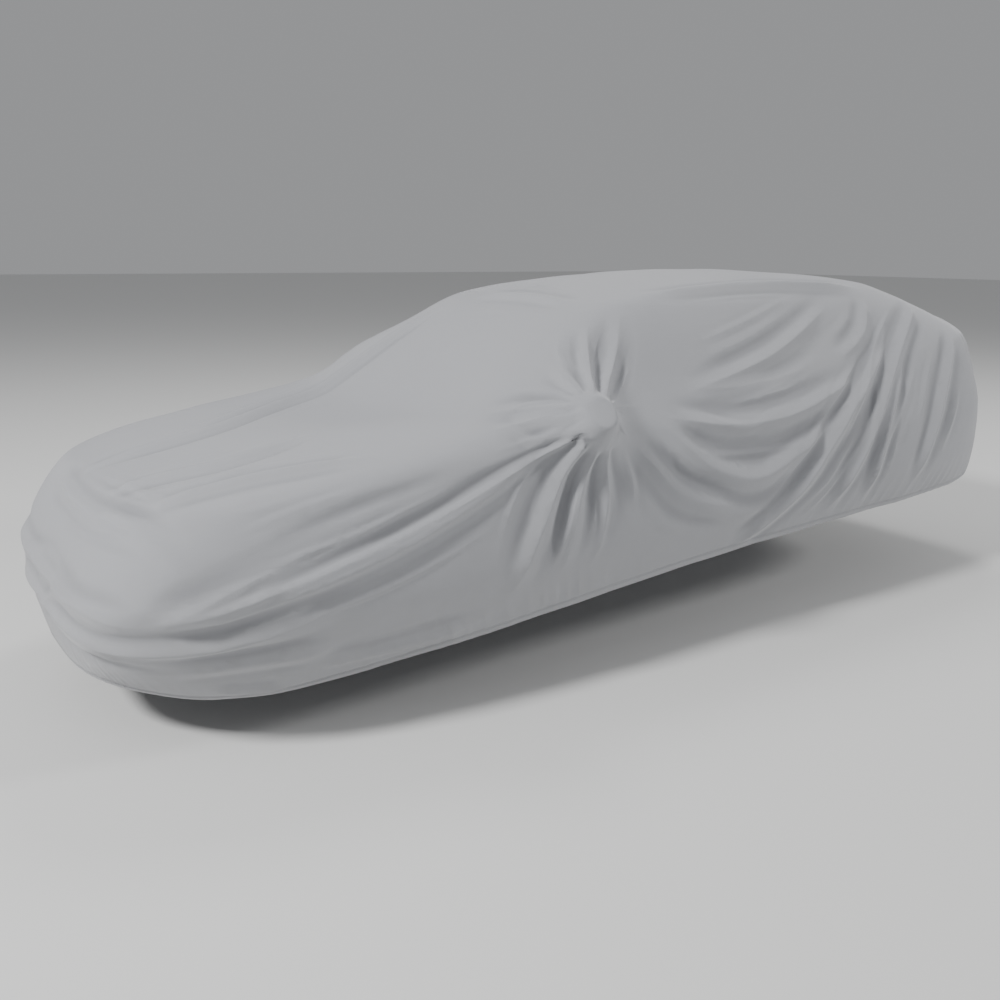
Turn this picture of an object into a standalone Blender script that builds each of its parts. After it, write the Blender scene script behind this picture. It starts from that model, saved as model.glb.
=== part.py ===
# A fitted cover of slightly stretchy cloth, pulled on and draped: one sheet, hollow and open below.
# Tables are in metres: x to the left of the middle, y back from the foremost point, z above the floor.

from collections import namedtuple

import bpy
import numpy as np

# Driving dimensions.
CLOTH_THICKNESS = 0.002
HEM_THICKNESS = 0.005  # the cloth turned up round its elastic
HEM_HEIGHT = 0.030
ROOF_REST = (0.0, 2.89, 1.476)  # just under the roof's cloth, where the cover is held up
LENGTHWISE_TENSION = 0.35  # 0 is slack between the rings, 1 pulls the cloth straight

# The sheet is modelled fine, then thinned out where it is flat.
NOSE_COLUMNS = 48
SIDE_COLUMNS = 236
TAIL_COLUMNS = 48
SHEET_ROWS = 132
SHEET_TRIANGLES = 5600

# Rings of the form, from the hem up to the roof. A squareness of 2 bends a corner like an ellipse, and one
# of 10 nearly like a box. The heights are at the middle of the nose, the front corner, the middle of the side,
# the rear corner and the middle of the tail.
Ring = namedtuple("Ring", "nose tail half_width nose_square tail_square heights")
RINGS = {
    "tuck": Ring(0.075, 4.470, 0.820, 2.8, 6.0, (0.242, 0.182, 0.374, 0.458, 0.434)),
    "hem": Ring(0.035, 4.510, 0.850, 2.8, 6.0, (0.240, 0.177, 0.370, 0.455, 0.430)),
    "waist": Ring(0.000, 4.510, 0.910, 4.0, 5.5, (0.410, 0.420, 0.580, 0.620, 0.640)),
    "edge": Ring(0.010, 4.480, 0.895, 5.0, 6.0, (0.490, 0.570, 0.810, 0.850, 0.860)),
    "shoulder": Ring(0.180, 4.450, 0.860, 5.0, 6.0, (0.790, 0.810, 0.930, 0.985, 1.000)),
    "window": Ring(1.210, 4.350, 0.785, 6.0, 6.0, (0.985, 1.015, 1.080, 1.175, 1.140)),
    "rail": Ring(1.930, 3.740, 0.550, 8.0, 6.0, (1.380, 1.370, 1.425, 1.420, 1.360)),
    "ridge": Ring(2.390, 3.420, 0.000, 1.0, 1.0, (1.465, 1.460, 1.478, 1.485, 1.460)),
}

# The pocket that stands out of each side. Its cap is drawn taut, so no fold crosses it.
Pocket = namedtuple("Pocket", "x y z cap_radius reach tallness curve taut_radius")
POCKET = Pocket(
    x=0.950,
    y=1.650,
    z=1.030,
    cap_radius=0.055,
    reach=0.300,
    tallness=0.85,
    curve=2.2,
    taut_radius=0.110,
)
SIDE_STARTS = 0.300  # only cloth further out than this is drawn into a pocket

# A fold runs through its points and is as deep as stated where it is deepest. It fades in and out over
# shares of its length. A crest of cloth stands beside the valley on each side.
Fold = namedtuple("Fold", "name width depth fade_in fade_out through")
LEFT_FOLDS = [
    # From the nose's corner back to the pocket.
    Fold("side crest", 0.055, 0.012, 0.1, 0.25, ((0.7, 0.17, 0.49), (0.85, 0.68, 0.7), (0.86, 1.23, 0.85))),
    Fold("side upper", 0.05, 0.018, 0.1, 0.1, ((0.72, 0.18, 0.49), (0.88, 0.9, 0.69), (0.94, 1.59, 0.96))),
    Fold("side lower", 0.045, 0.018, 0.15, 0.25, ((0.74, 0.24, 0.48), (0.88, 0.86, 0.64), (0.88, 1.45, 0.87))),
    Fold("side short", 0.045, 0.012, 0.3, 0.3, ((0.78, 0.36, 0.45), (0.83, 0.51, 0.49), (0.86, 0.64, 0.53))),
    # Round the nose and low down behind it.
    Fold("low front", 0.05, 0.014, 0.25, 0.3, ((0.6, 0.21, 0.31), (0.75, 0.46, 0.33), (0.81, 0.75, 0.34))),
    Fold("low side", 0.05, 0.014, 0.25, 0.3, ((0.75, 0.59, 0.28), (0.82, 1.0, 0.31), (0.85, 1.26, 0.34))),
    Fold("hem front", 0.04, 0.01, 0.3, 0.3, ((0.62, 0.35, 0.22), (0.66, 0.46, 0.21), (0.7, 0.6, 0.2))),
    Fold(
        "nose edge", 0.055, 0.012, 0.15, 0.1,
        ((-0.72, 0.15, 0.52), (-0.42, 0.02, 0.51), (0.19, 0.01, 0.5), (0.48, 0.03, 0.51), (0.7, 0.17, 0.49)),
    ),
    Fold(
        "nose lower", 0.055, 0.015, 0.2, 0.25,
        ((-0.55, 0.05, 0.41), (0.28, 0.0, 0.41), (0.63, 0.15, 0.39), (0.82, 0.52, 0.44), (0.88, 0.9, 0.58)),
    ),
    # The star that the pocket pulls.
    Fold("up, front", 0.05, 0.02, 0.12, 0.4, ((0.9, 1.65, 1.08), (0.7, 1.78, 1.19), (0.54, 1.9, 1.32))),
    Fold("up, rear", 0.05, 0.02, 0.12, 0.4, ((0.89, 1.71, 1.07), (0.73, 1.88, 1.16), (0.56, 2.05, 1.35))),
    Fold("up, short", 0.04, 0.014, 0.12, 0.5, ((0.88, 1.62, 1.09), (0.78, 1.62, 1.13), (0.67, 1.62, 1.17))),
    Fold("fore, high", 0.045, 0.016, 0.12, 0.45, ((0.9, 1.59, 1.06), (0.78, 1.47, 1.04), (0.66, 1.32, 1.01))),
    Fold("fore, low", 0.045, 0.016, 0.12, 0.45, ((0.93, 1.59, 1.03), (0.81, 1.46, 1.0), (0.76, 1.3, 0.97))),
    Fold("down, front", 0.06, 0.024, 0.12, 0.35, ((0.95, 1.62, 0.98), (0.9, 1.46, 0.7), (0.86, 1.3, 0.37))),
    Fold("down, mid", 0.055, 0.022, 0.12, 0.4, ((0.93, 1.65, 0.91), (0.9, 1.59, 0.7), (0.88, 1.52, 0.44))),
    Fold("down, rear", 0.05, 0.018, 0.12, 0.45, ((0.92, 1.7, 0.91), (0.9, 1.72, 0.76), (0.91, 1.71, 0.58))),
    # The swags that hang between the pocket and the tail.
    Fold("swag low", 0.06, 0.02, 0.25, 0.35, ((0.88, 1.85, 0.9), (0.91, 2.08, 0.68), (0.91, 2.43, 0.57))),
    Fold(
        "swag middle", 0.07, 0.026, 0.2, 0.3,
        ((0.83, 1.98, 0.98), (0.9, 2.21, 0.78), (0.91, 2.51, 0.69), (0.9, 2.76, 0.77), (0.88, 3.06, 0.89)),
    ),
    Fold(
        "swag high", 0.065, 0.022, 0.2, 0.3,
        ((0.83, 2.02, 0.97), (0.87, 2.34, 0.91), (0.87, 2.66, 0.91), (0.82, 3.27, 1.06)),
    ),
    Fold("upper swag", 0.06, 0.018, 0.3, 0.25, ((0.8, 2.17, 1.03), (0.74, 2.73, 1.15), (0.63, 3.25, 1.36))),
    Fold("upper hook", 0.055, 0.016, 0.2, 0.35, ((0.63, 3.47, 1.36), (0.72, 3.37, 1.24), (0.79, 3.1, 1.1))),
    # The long pulls from the roof's rear corner down to the hem.
    Fold(
        "pull long", 0.06, 0.024, 0.25, 0.15,
        ((0.74, 3.54, 1.2), (0.88, 3.1, 0.9), (0.9, 2.71, 0.56), (0.85, 2.4, 0.38)),
    ),
    Fold(
        "pull upper", 0.06, 0.024, 0.15, 0.2,
        ((0.62, 3.85, 1.32), (0.77, 3.58, 1.16), (0.9, 3.2, 0.74), (0.86, 2.96, 0.44)),
    ),
    Fold("pull short", 0.05, 0.018, 0.25, 0.25, ((0.8, 3.56, 1.1), (0.9, 3.36, 0.8), (0.86, 3.23, 0.46))),
    Fold("pull corner", 0.06, 0.022, 0.15, 0.25, ((0.73, 4.04, 1.18), (0.87, 3.79, 0.87), (0.87, 3.6, 0.5))),
]
TOP_FOLDS = [
    Fold(
        "front right", 0.06, 0.014, 0.15, 0.2,
        ((-0.11, 0.16, 0.78), (-0.13, 0.58, 0.88), (-0.3, 1.0, 0.95), (-0.4, 1.44, 1.11), (-0.38, 1.86, 1.34)),
    ),
    Fold("front mid", 0.055, 0.014, 0.2, 0.35, ((0.24, 0.17, 0.78), (0.37, 0.52, 0.88), (0.26, 0.93, 0.94))),
    Fold("front left", 0.055, 0.014, 0.2, 0.35, ((0.53, 0.22, 0.8), (0.62, 0.57, 0.88), (0.73, 0.93, 0.92))),
    Fold(
        "front lip", 0.055, 0.016, 0.15, 0.3,
        ((-0.34, 0.15, 0.75), (0.22, 0.13, 0.74), (0.52, 0.17, 0.75), (0.76, 0.32, 0.66)),
    ),
    Fold("lip, short", 0.04, 0.01, 0.3, 0.3, ((0.33, 0.16, 0.77), (0.5, 0.18, 0.77), (0.63, 0.24, 0.76))),
    Fold("roof front", 0.05, 0.012, 0.25, 0.25, ((-0.24, 1.91, 1.37), (0.12, 1.93, 1.38), (0.45, 1.92, 1.36))),
    Fold("roof left", 0.05, 0.014, 0.2, 0.2, ((0.52, 2.15, 1.39), (0.54, 2.83, 1.43), (0.58, 3.52, 1.4))),
    Fold("roof right", 0.05, 0.014, 0.2, 0.2, ((-0.52, 2.2, 1.39), (-0.54, 2.83, 1.43), (-0.57, 3.46, 1.4))),
]
# The right side's own folds, less many and given as if they lay on the left.
RIGHT_FOLDS = [
    Fold("side upper", 0.055, 0.018, 0.15, 0.1, ((0.74, 0.24, 0.52), (0.88, 0.92, 0.7), (0.94, 1.59, 0.97))),
    Fold("side lower", 0.05, 0.014, 0.25, 0.3, ((0.8, 0.42, 0.44), (0.88, 0.9, 0.58), (0.9, 1.34, 0.74))),
    Fold("up, front", 0.05, 0.018, 0.12, 0.4, ((0.9, 1.64, 1.08), (0.71, 1.74, 1.18), (0.55, 1.83, 1.31))),
    Fold("up, rear", 0.05, 0.018, 0.12, 0.4, ((0.89, 1.72, 1.07), (0.72, 1.93, 1.17), (0.56, 2.13, 1.36))),
    Fold("fore", 0.05, 0.016, 0.12, 0.45, ((0.91, 1.59, 1.05), (0.8, 1.45, 1.02), (0.7, 1.28, 0.99))),
    Fold("down, front", 0.06, 0.022, 0.12, 0.35, ((0.95, 1.62, 0.97), (0.9, 1.42, 0.68), (0.86, 1.2, 0.38))),
    Fold("down, rear", 0.055, 0.02, 0.12, 0.4, ((0.93, 1.67, 0.92), (0.91, 1.68, 0.7), (0.89, 1.64, 0.46))),
    Fold("swag low", 0.06, 0.02, 0.25, 0.35, ((0.89, 1.88, 0.88), (0.91, 2.18, 0.64), (0.91, 2.62, 0.56))),
    Fold(
        "swag high", 0.07, 0.024, 0.2, 0.3,
        ((0.84, 2.02, 0.97), (0.9, 2.4, 0.8), (0.9, 2.8, 0.8), (0.86, 3.22, 0.98)),
    ),
    Fold("upper swag", 0.06, 0.016, 0.3, 0.25, ((0.79, 2.3, 1.06), (0.73, 2.8, 1.17), (0.62, 3.3, 1.36))),
    Fold("pull long", 0.06, 0.022, 0.25, 0.15, ((0.76, 3.5, 1.18), (0.88, 3.08, 0.86), (0.86, 2.6, 0.4))),
    Fold("pull upper", 0.06, 0.022, 0.15, 0.2, ((0.64, 3.84, 1.31), (0.88, 3.4, 0.9), (0.86, 3.12, 0.45))),
    Fold("pull corner", 0.06, 0.02, 0.15, 0.25, ((0.73, 4.06, 1.17), (0.88, 3.84, 0.84), (0.87, 3.7, 0.5))),
]
TAIL_FOLDS = [
    Fold("tail left", 0.06, 0.018, 0.2, 0.25, ((0.48, 4.02, 1.25), (0.66, 4.4, 0.9), (0.62, 4.47, 0.5))),
    Fold("tail right", 0.06, 0.018, 0.2, 0.25, ((-0.45, 4.05, 1.24), (-0.7, 4.38, 0.92), (-0.7, 4.45, 0.52))),
    Fold("tail swag", 0.07, 0.02, 0.25, 0.25, ((0.6, 4.44, 0.86), (0.05, 4.5, 0.68), (-0.55, 4.45, 0.84))),
]
CREST_SHARE = 0.45  # height of a crest against the valley's depth
CREST_PLACE = 1.15  # its distance from the valley, in widths
VALLEY_SHARE = 0.55  # half width of the valley at its mouth, in widths
FOLD_STEPS = 20
FOLD_NEAR = 0.12  # a fold only moves cloth whose own surface passes this near to it

CLOTH_COLOUR = (0.392, 0.397, 0.418, 1.0)
CLOTH_ROUGHNESS = 0.85

TO_THE_RIGHT = np.array([-1, 1, 1])


def smooth_step(share):
    """0 up to share 0, 1 from share 1 on, and smooth between."""
    held = np.clip(share, 0, 1)
    return held * held * (3 - 2 * held)


def through_points(at, knots, values, level_ends=False):
    """A smooth curve through values at knots, read at the places in at. It can start and end level."""
    knots = np.asarray(knots, float)
    values = np.asarray(values, float)
    gaps = np.diff(knots)
    rises = np.diff(values) / gaps
    slopes = np.zeros_like(values)
    if not level_ends:
        slopes[0] = rises[0]
        slopes[-1] = rises[-1]
    slopes[1:-1] = (rises[:-1] * gaps[1:] + rises[1:] * gaps[:-1]) / (gaps[:-1] + gaps[1:])
    at = np.clip(at, knots[0], knots[-1])
    left = np.clip(np.searchsorted(knots, at, side="right") - 1, 0, len(knots) - 2)
    gap = gaps[left]
    t = (at - knots[left]) / gap
    return (
        values[left] * (1 + 2 * t) * (1 - t) ** 2
        + slopes[left] * gap * t * (1 - t) ** 2
        + values[left + 1] * t * t * (3 - 2 * t)
        + slopes[left + 1] * gap * t * t * (t - 1)
    )


def round_the_cover():
    """Places round the left half: 0 mid nose, 1 front corner, 2 mid side, 3 rear corner and 4 mid tail."""
    nose = np.linspace(0, 1, NOSE_COLUMNS, endpoint=False)
    side = np.linspace(1, 3, SIDE_COLUMNS, endpoint=False)
    tail = np.linspace(3, 4, TAIL_COLUMNS + 1)
    return np.concatenate([nose, side, tail])


def ring_points(ring, places):
    """The left half of one ring, as a rounded box seen from above with its height following the places."""
    across = np.where(places < 1, places, np.where(places < 3, 1.0, 4 - places))
    along = np.where(places < 1, -1.0, np.where(places < 3, places - 2, 1.0))
    square = np.where(along < 0, ring.nose_square, ring.tail_square)
    shrink = (across**square + np.abs(along) ** square) ** (-1 / square)
    middle = (ring.nose + ring.tail) / 2
    half_length = (ring.tail - ring.nose) / 2
    x = across * shrink * ring.half_width
    y = middle + along * shrink * half_length
    z = through_points(places, range(5), ring.heights, level_ends=True)
    return np.stack([x, y, z], axis=-1)


def stretched_over(rings, row_count):
    """Rows of points up the cloth, pulled over the rings from the hem to the roof's ridge."""
    below = 2 * rings[:, 0] - rings[:, 1]
    beyond = 2 * rings[:, -1] - rings[:, -2]
    beyond[:, 2] = rings[:, -2, 2]
    held = np.concatenate([below[:, None], rings, beyond[:, None]], axis=1)
    gaps = np.sqrt(np.linalg.norm(np.diff(held, axis=1), axis=2))
    knots = np.concatenate([np.zeros((len(held), 1)), np.cumsum(gaps, axis=1)], axis=1)
    spans = np.linalg.norm(np.diff(rings, axis=1), axis=2).mean(axis=0)
    counts = np.maximum(2, np.round(spans / spans.sum() * row_count)).astype(int)
    slack = 1 - LENGTHWISE_TENSION
    rows = []
    for span, count in enumerate(counts):
        before, start, end, after = (held[:, span + k] for k in range(4))
        k0, k1, k2, k3 = (knots[:, span + k][:, None] for k in range(4))
        rise = (end - start) / (k2 - k1)
        leave = (k2 - k1) * ((start - before) / (k1 - k0) - (end - before) / (k2 - k0) + rise)
        arrive = (k2 - k1) * (rise - (after - start) / (k3 - k1) + (after - end) / (k3 - k2))
        for t in np.arange(count) / count:
            rows.append(
                start * (2 * t**3 - 3 * t * t + 1)
                + slack * leave * (t**3 - 2 * t * t + t)
                + end * (3 * t * t - 2 * t**3)
                + slack * arrive * (t**3 - t * t)
            )
    rows.append(rings[:, -1])
    return np.stack(rows)


def pull_out_pocket(rows):
    """The left half with the cloth drawn out into its pocket, like a tent over a rounded cap."""
    from_tip = np.hypot(rows[..., 1] - POCKET.y, (rows[..., 2] - POCKET.z) / POCKET.tallness)
    at_the_side = rows[..., 0] > SIDE_STARTS
    nearest = np.unravel_index(np.argmin(np.where(at_the_side, from_tip, np.inf)), from_tip.shape)
    pull = POCKET.x - rows[nearest][0]
    rise = np.clip(1 - np.maximum(from_tip - POCKET.cap_radius, 0) / POCKET.reach, 0, 1) ** POCKET.curve
    rows[..., 0] += pull * rise * at_the_side
    return rows


def sheet_mesh():
    """The unfolded sheet as one mesh: rows of columns all the way round, meeting along the roof's ridge."""
    places = round_the_cover()
    rings = np.stack([ring_points(ring, places) for ring in RINGS.values()], axis=1)
    left = pull_out_pocket(stretched_over(rings, SHEET_ROWS))
    right = left[:, -2:0:-1] * TO_THE_RIGHT
    around = np.concatenate([left[:-1], right[:-1]], axis=1)
    rows, columns = around.shape[:2]
    points = np.concatenate([around.reshape(-1, 3), left[-1]])
    index = np.arange(rows * columns).reshape(rows, columns)
    half = len(places)
    on_ridge = rows * columns + np.concatenate([np.arange(half), np.arange(half - 2, 0, -1)])
    index = np.concatenate([index, on_ridge[None]])
    after = np.roll(index, -1, axis=1)
    corners = [index[:-1], index[1:], after[1:], after[:-1]]
    faces = np.stack(corners, axis=-1).reshape(-1, 4)
    mesh = bpy.data.meshes.new("cover")
    mesh.from_pydata(points.tolist(), [], faces.tolist())
    return mesh


def all_folds():
    """Every fold where it lies, with those of the right side turned over to it."""
    turned = [fold._replace(through=np.array(fold.through) * TO_THE_RIGHT) for fold in RIGHT_FOLDS]
    return LEFT_FOLDS + TOP_FOLDS + turned + TAIL_FOLDS


def fold_path(fold):
    """Points along a fold, evenly spread over its length."""
    given = np.array(fold.through)
    reach = np.concatenate([[0], np.cumsum(np.linalg.norm(np.diff(given, axis=0), axis=1))])
    at = np.linspace(0, reach[-1], FOLD_STEPS + 1)
    return np.stack([through_points(at, reach, given[:, axis]) for axis in range(3)], axis=-1)


def fold_shift(points, normals, fold):
    """How far one fold moves each point along its normal, with the points that it reaches."""
    path = fold_path(fold)
    margin = 3 * fold.width + FOLD_NEAR
    inside = np.all((points > path.min(axis=0) - margin) & (points < path.max(axis=0) + margin), axis=1)
    reached = np.flatnonzero(inside)
    here = points[reached]
    facing = normals[reached]
    nearest = np.full(len(reached), np.inf)
    share = np.zeros(len(reached))
    for step in range(FOLD_STEPS):
        run = path[step + 1] - path[step]
        along = np.clip((here - path[step]) @ run / (run @ run), 0, 1)
        offset = here - path[step] - along[:, None] * run
        lift = np.sum(offset * facing, axis=1)
        flat = np.sum(offset * offset, axis=1) - lift**2
        flat = np.where(np.abs(lift) < FOLD_NEAR, np.maximum(flat, 0), np.inf)
        closer = flat < nearest
        nearest[closer] = flat[closer]
        share[closer] = (step + along[closer]) / FOLD_STEPS
    distance = np.sqrt(nearest) / fold.width
    strength = smooth_step(np.minimum(share / fold.fade_in, 1) * np.minimum((1 - share) / fold.fade_out, 1))
    valley = np.exp(-((distance / VALLEY_SHARE) ** 2))
    crest = np.exp(-(((distance - CREST_PLACE) / VALLEY_SHARE) ** 2))
    return reached, fold.depth * strength * (CREST_SHARE * crest - valley)


def off_the_cap(points):
    """0 on either pocket's taut cap, and 1 beyond it, where the folds start."""
    tip = np.array([POCKET.x, POCKET.y, POCKET.z])
    outward = np.abs(points[:, :1])
    from_tip = np.linalg.norm(np.concatenate([outward, points[:, 1:]], axis=1) - tip, axis=1)
    return smooth_step((from_tip - POCKET.cap_radius) / (POCKET.taut_radius - POCKET.cap_radius))


def put_in_folds(mesh):
    """Moves the sheet's points along their normals into all the folds."""
    count = len(mesh.vertices)
    points = np.empty(count * 3, np.float32)
    mesh.vertices.foreach_get("co", points)
    points = points.reshape(-1, 3).astype(float)
    normals = np.empty(count * 3, np.float32)
    mesh.vertex_normals.foreach_get("vector", normals)
    normals = normals.reshape(-1, 3).astype(float)
    shift = np.zeros(count)
    for fold in all_folds():
        reached, moved = fold_shift(points, normals, fold)
        shift[reached] += moved
    shift *= off_the_cap(points)
    points += normals * shift[:, None]
    mesh.vertices.foreach_set("co", points.astype(np.float32).ravel())
    mesh.update()


def thicker_hem(cover):
    """A vertex group that keeps the hem's band at its full thickness and thins the cloth above it."""
    highest = max(RINGS["hem"].heights) + HEM_HEIGHT
    group = cover.vertex_groups.new(name="thickness")
    columns = 2 * (NOSE_COLUMNS + SIDE_COLUMNS + TAIL_COLUMNS)
    group.add(range(len(cover.data.vertices)), CLOTH_THICKNESS / HEM_THICKNESS, "REPLACE")
    edge = [vertex.co.z for vertex in cover.data.vertices[:columns]]
    for vertex in cover.data.vertices:
        above = vertex.co.z - edge[vertex.index % columns]
        if above < HEM_HEIGHT and vertex.co.z < highest:
            group.add([vertex.index], 1.0, "REPLACE")
    return group


def cloth_material():
    material = bpy.data.materials.new("cover_cloth")
    material.use_nodes = True
    shader = material.node_tree.nodes["Principled BSDF"]
    shader.inputs["Base Color"].default_value = CLOTH_COLOUR
    shader.inputs["Roughness"].default_value = CLOTH_ROUGHNESS
    shader.inputs["Metallic"].default_value = 0.0
    return material


def build_cover():
    mesh = sheet_mesh()
    put_in_folds(mesh)
    cover = bpy.data.objects.new("cover", mesh)
    bpy.context.scene.collection.objects.link(cover)
    mesh.materials.append(cloth_material())
    mesh.shade_smooth()
    group = thicker_hem(cover)
    thin_out = cover.modifiers.new("thin_out", "DECIMATE")
    thin_out.ratio = SHEET_TRIANGLES / (2 * len(mesh.polygons))
    thickness = cover.modifiers.new("thickness", "SOLIDIFY")
    thickness.thickness = HEM_THICKNESS
    thickness.offset = -1
    thickness.vertex_group = group.name
    cover.location = [-place for place in ROOF_REST]
    return cover


for old in list(bpy.data.objects):
    bpy.data.objects.remove(old, do_unlink=True)
build_cover()
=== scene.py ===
import math

import bpy
import numpy as np
from mathutils import Matrix, Vector
from mathutils.bvhtree import BVHTree


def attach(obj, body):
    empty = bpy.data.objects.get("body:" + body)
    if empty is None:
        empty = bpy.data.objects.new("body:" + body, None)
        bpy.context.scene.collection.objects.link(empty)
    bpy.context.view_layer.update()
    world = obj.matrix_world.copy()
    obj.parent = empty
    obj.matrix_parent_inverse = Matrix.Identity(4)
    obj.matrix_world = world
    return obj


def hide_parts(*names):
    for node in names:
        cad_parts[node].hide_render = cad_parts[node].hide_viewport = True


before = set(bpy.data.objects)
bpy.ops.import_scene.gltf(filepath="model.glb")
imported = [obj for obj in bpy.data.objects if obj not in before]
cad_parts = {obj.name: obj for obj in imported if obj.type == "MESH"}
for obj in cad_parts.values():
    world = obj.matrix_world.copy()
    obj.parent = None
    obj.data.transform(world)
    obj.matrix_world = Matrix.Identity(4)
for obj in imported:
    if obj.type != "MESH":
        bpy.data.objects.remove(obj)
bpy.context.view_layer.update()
print("frame loaded")

# The cloth's form, in metres: x to the left of the middle, y back from the foremost point, z above the floor.
# roofRest is the frame's origin in those measures.
cloth = {
    "roofRest": (0.0, 2.89, 1.476),
    "thickness": 0.002,
    "hemThickness": 0.005,
    "hemHeight": 0.058,
    "tension": 0.35,  # 0 slack between the rings, 1 straight
    "columns": 900,  # round each half
    "pocketColumns": 1.3,  # how much denser they stand beside a pocket
    "besidePocket": 0.32,
    "triangles": 97000,  # on one side of the cloth, once it is thinned out where it is flat
    # nose, tail, half width, squareness of the front and rear corners, then the heights at the middle of the
    # nose, the front corner, the middle of the side, the rear corner and the middle of the tail
    "rings": {
        "tuck": (0.075, 4.470, 0.820, 2.8, 6.0, (0.242, 0.182, 0.374, 0.458, 0.434)),
        "hem": (0.035, 4.510, 0.850, 2.8, 6.0, (0.240, 0.177, 0.370, 0.455, 0.430)),
        "waist": (0.000, 4.510, 0.910, 4.0, 5.5, (0.410, 0.420, 0.580, 0.620, 0.640)),
        "edge": (0.010, 4.480, 0.895, 5.0, 6.0, (0.490, 0.570, 0.810, 0.850, 0.860)),
        "shoulder": (0.180, 4.450, 0.860, 5.0, 6.0, (0.790, 0.810, 0.930, 0.985, 1.000)),
        "window": (1.210, 4.350, 0.785, 6.0, 6.0, (0.985, 1.015, 1.080, 1.175, 1.140)),
        "rail": (1.930, 3.740, 0.550, 8.0, 6.0, (1.380, 1.370, 1.425, 1.420, 1.360)),
        "ridge": (2.390, 3.420, 0.000, 1.0, 1.0, (1.465, 1.460, 1.478, 1.485, 1.460)),
    },
    # how high the roof is along its middle
    "ridgeLine": ((2.39, 1.465), (2.65, 1.473), (2.90, 1.478), (3.16, 1.479), (3.42, 1.461)),
    "rowsUpTo": {"hem": 12, "waist": 34, "edge": 28, "shoulder": 34, "window": 76, "rail": 74, "ridge": 38},
    "flatSize": (3.60, 5.80),  # the cut's greatest width and length
    "flatArea": 16.2,
}

pocket = {
    "tip": (0.950, 1.650, 1.030),
    "capRadius": 0.055,
    "reach": 0.300,
    "tallness": 0.85,
    "curve": 2.2,
    "softness": 0.012,  # how roundly the cloth turns over the cap's edge
    "tautRadius": 0.125,  # no fold crosses the taut cap
    "sideStarts": 0.300,
    "rimHeight": 0.005,  # the ridge that the cloth makes over the cap's upper rear edge
    "rimWidth": 0.009,
    "rimFrom": -0.35,
    "rimTo": 2.00,
}


def smoothStep(share):
    held = np.clip(share, 0, 1)
    return held * held * (3 - 2 * held)


def throughPoints(at, knots, values, levelEnds=False):
    # a smooth curve through values at knots, read at the places in at
    knots = np.asarray(knots, float)
    values = np.asarray(values, float)
    gaps = np.diff(knots)
    rises = np.diff(values) / gaps
    slopes = np.zeros_like(values)
    if not levelEnds:
        slopes[0] = rises[0]
        slopes[-1] = rises[-1]
    slopes[1:-1] = (rises[:-1] * gaps[1:] + rises[1:] * gaps[:-1]) / (gaps[:-1] + gaps[1:])
    at = np.clip(at, knots[0], knots[-1])
    left = np.clip(np.searchsorted(knots, at, side="right") - 1, 0, len(knots) - 2)
    gap = gaps[left]
    t = (at - knots[left]) / gap
    return (
        values[left] * (1 + 2 * t) * (1 - t) ** 2
        + slopes[left] * gap * t * (1 - t) ** 2
        + values[left + 1] * t * t * (3 - 2 * t)
        + slopes[left + 1] * gap * t * t * (t - 1)
    )


def ringPoints(ring, places):
    nose, tail, halfWidth, noseSquare, tailSquare, heights = ring
    across = np.where(places < 1, places, np.where(places < 3, 1.0, 4 - places))
    along = np.where(places < 1, -1.0, np.where(places < 3, places - 2, 1.0))
    square = np.where(along < 0, noseSquare, tailSquare)
    shrink = (across**square + np.abs(along) ** square) ** (-1 / square)
    x = across * shrink * halfWidth
    y = (nose + tail) / 2 + along * shrink * (tail - nose) / 2
    z = throughPoints(places, range(5), heights, levelEnds=True)
    return np.stack([x, y, z], axis=-1)


def placesRound():
    # round the left half: 0 mid nose, 1 front corner, 2 mid side, 3 rear corner, 4 mid tail
    fine = np.linspace(0, 4, 6001)
    ring = ringPoints(cloth["rings"]["shoulder"], fine)
    middle = (ring[1:] + ring[:-1]) / 2
    beside = np.exp(-(((middle[:, 1] - pocket["tip"][1]) / cloth["besidePocket"]) ** 2))
    beside = beside * (middle[:, 0] > pocket["sideStarts"])
    dense = np.linalg.norm(np.diff(ring, axis=0), axis=1) * (1 + cloth["pocketColumns"] * beside)
    reach = np.concatenate([[0], np.cumsum(dense)])
    return np.interp(np.linspace(0, reach[-1], cloth["columns"] + 1), reach, fine)


def roofHeight(back):
    line = np.array(cloth["ridgeLine"])
    return throughPoints(back, line[:, 0], line[:, 1])


def stretchedOver(rings, counts):
    # rows up the cloth from the hem to the roof's ridge, as a tight curve over the rings in each column
    below = 2 * rings[:, 0] - rings[:, 1]
    rail, ridge = rings[:, -2], rings[:, -1]
    beyond = 2 * ridge - rail  # where the row would go on to, over on the roof's other side
    middle = roofHeight(beyond[:, 1])
    beyond[:, 2] = middle + (rail[:, 2] - middle) * (beyond[:, 0] / rail[:, 0].max()) ** 2
    held = np.concatenate([below[:, None], rings, beyond[:, None]], axis=1)
    gaps = np.sqrt(np.linalg.norm(np.diff(held, axis=1), axis=2))
    knots = np.concatenate([np.zeros((len(held), 1)), np.cumsum(gaps, axis=1)], axis=1)
    slack = 1 - cloth["tension"]
    rows = []
    for span, count in enumerate(counts):
        before, start, end, after = (held[:, span + k] for k in range(4))
        k0, k1, k2, k3 = (knots[:, span + k][:, None] for k in range(4))
        rise = (end - start) / (k2 - k1)
        leave = (k2 - k1) * ((start - before) / (k1 - k0) - (end - before) / (k2 - k0) + rise)
        arrive = (k2 - k1) * (rise - (after - start) / (k3 - k1) + (after - end) / (k3 - k2))
        for t in np.arange(count) / count:
            rows.append(
                start * (2 * t**3 - 3 * t * t + 1)
                + slack * leave * (t**3 - 2 * t * t + t)
                + end * (3 * t * t - 2 * t**3)
                + slack * arrive * (t**3 - t * t)
            )
    rows.append(rings[:, -1])
    return np.stack(rows)


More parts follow.
